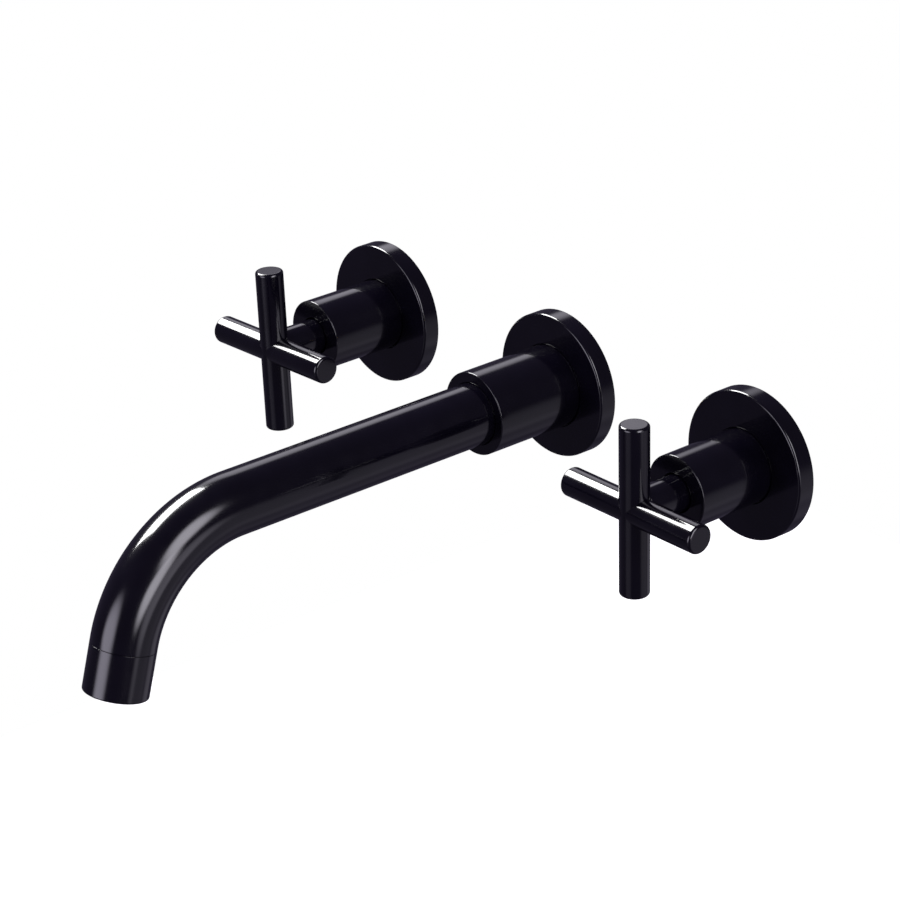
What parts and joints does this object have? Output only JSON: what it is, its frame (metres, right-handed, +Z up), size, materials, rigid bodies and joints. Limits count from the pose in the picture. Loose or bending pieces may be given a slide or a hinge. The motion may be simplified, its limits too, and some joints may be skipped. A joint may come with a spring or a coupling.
{
  "type": "wall mounted bath faucet",
  "caption": "Wall mounted bath faucet with a hot and a cold cross handle on quarter-turn ceramic valves and a long round spout that bends down, each on a round flange.",
  "frame": {"origin": "where the spout's axis crosses the wall plane", "axes": "+Z up, +Y into the wall along the spout inlet's thread, +X right along the wall, so the spout reaches out along -Y"},
  "size_m": [0.2683, 0.237, 0.0907],
  "materials": {
    "black_finish": "polished gloss black coating over brass",
    "brass": "machined, uncoated",
    "steel": "stainless, bright",
    "ceramic": "lapped alumina",
    "rubber": "moulded nitrile",
    "foam": "closed-cell foam",
    "fibre": "pressed fibre sealing washer",
    "nylon": "moulded nylon",
    "acetal": "moulded grey acetal"
  },
  "bodies": {
    "fixed": {"hot_flange": "black_finish", "hot_flange_gasket": "foam", "hot_sleeve_o_ring": "rubber", "hot_sleeve": "black_finish", "hot_sleeve_nut": "brass", "hot_headwork_body": "brass", "hot_headwork_washer": "fibre", "hot_fixed_disc": "ceramic", "hot_seat_seal": "rubber", "cold_flange": "black_finish", "cold_flange_gasket": "foam", "cold_sleeve_o_ring": "rubber", "cold_sleeve": "black_finish", "cold_sleeve_nut": "brass", "cold_headwork_body": "brass", "cold_headwork_washer": "fibre", "cold_fixed_disc": "ceramic", "cold_seat_seal": "rubber", "spout_flange": "black_finish", "spout_flange_gasket": "foam", "collar_o_ring": "rubber", "spout_collar": "black_finish", "collar_front_o_ring": "rubber", "spout_nipple": "brass", "nipple_washer": "fibre", "nipple_o_rings": "rubber", "spout_adapter": "brass", "spout_set_screw": "steel", "spout_tube": "black_finish", "spout_ferrule": "brass", "aerator_housing": "black_finish", "aerator_core": "acetal", "aerator_screen": "steel", "aerator_washer": "rubber"},
    "hot_handle": {"hot_hub": "black_finish", "hot_spline_insert": "nylon", "hot_cross_bar": "black_finish", "hot_arm_left": "black_finish", "hot_arm_right": "black_finish", "hot_set_screw": "steel", "hot_stem_extension": "brass", "hot_stem": "brass", "hot_stem_o_rings": "rubber", "hot_stem_clip": "steel", "hot_moving_disc": "ceramic"},
    "cold_handle": {"cold_hub": "black_finish", "cold_spline_insert": "nylon", "cold_cross_bar": "black_finish", "cold_arm_left": "black_finish", "cold_arm_right": "black_finish", "cold_set_screw": "steel", "cold_stem_extension": "brass", "cold_stem": "brass", "cold_stem_o_rings": "rubber", "cold_stem_clip": "steel", "cold_moving_disc": "ceramic"}
  },
  "joints": [
    {"name": "hot_handle_turn", "type": "hinge", "parent": "fixed", "child": "hot_handle", "pos_m": [-0.1016, 0, 0], "axis": [0, -1, 0], "range_deg": [0, 90]},
    {"name": "cold_handle_turn", "type": "hinge", "parent": "fixed", "child": "cold_handle", "pos_m": [0.1016, 0, 0], "axis": [0, 1, 0], "range_deg": [0, 90]}
  ]
}
